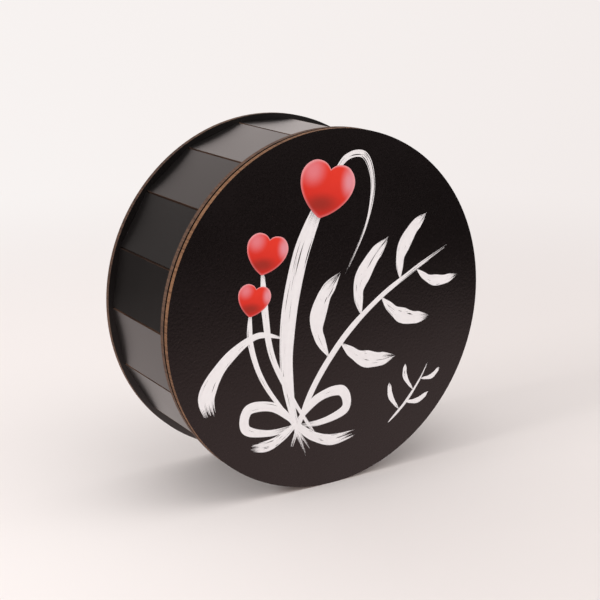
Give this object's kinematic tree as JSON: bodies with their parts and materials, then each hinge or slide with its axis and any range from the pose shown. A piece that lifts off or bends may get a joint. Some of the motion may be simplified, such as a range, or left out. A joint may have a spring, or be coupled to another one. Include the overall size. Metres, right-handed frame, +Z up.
{
  "type": "flower box",
  "caption": "Round drum-shaped flower box of laser-cut black board, standing on its rims, with flat wall panels, a front ring and a printed pull-off lid.",
  "frame": {"origin": "on the floor under the middle of the box as it stands on its round rims", "axes": "+Z up; +Y along the drum's axis from the lid to the back, so the lid faces -Y; +X to the right of someone facing the lid"},
  "size_m": [0.2, 0.075, 0.2],
  "materials": {
    "board": "black satin laminate, cut edges scorched brown",
    "lid_board": "black fine-grained satin laminate with a printed design, cut edge scorched brown",
    "white_print": "white ink, dry-brush strokes",
    "red_print": "red ink, shaded hearts"
  },
  "bodies": {
    "box": {"back_panel": "board", "front_ring": "board", "wall_panel_01": "board", "wall_panel_02": "board", "wall_panel_03": "board", "wall_panel_04": "board", "wall_panel_05": "board", "wall_panel_06": "board", "wall_panel_07": "board", "wall_panel_08": "board", "wall_panel_09": "board", "wall_panel_10": "board", "wall_panel_11": "board", "wall_panel_12": "board", "wall_panel_13": "board", "wall_panel_14": "board", "wall_panel_15": "board", "wall_panel_16": "board", "wall_panel_17": "board", "wall_panel_18": "board"},
    "lid": {"lid_panel": "lid_board", "lid_locating_disc": "board"}
  },
  "joints": [
    {"name": "lid_pull", "type": "slide", "parent": "box", "child": "lid", "axis": [0, -1, 0], "range_m": [0, 0.15]}
  ]
}
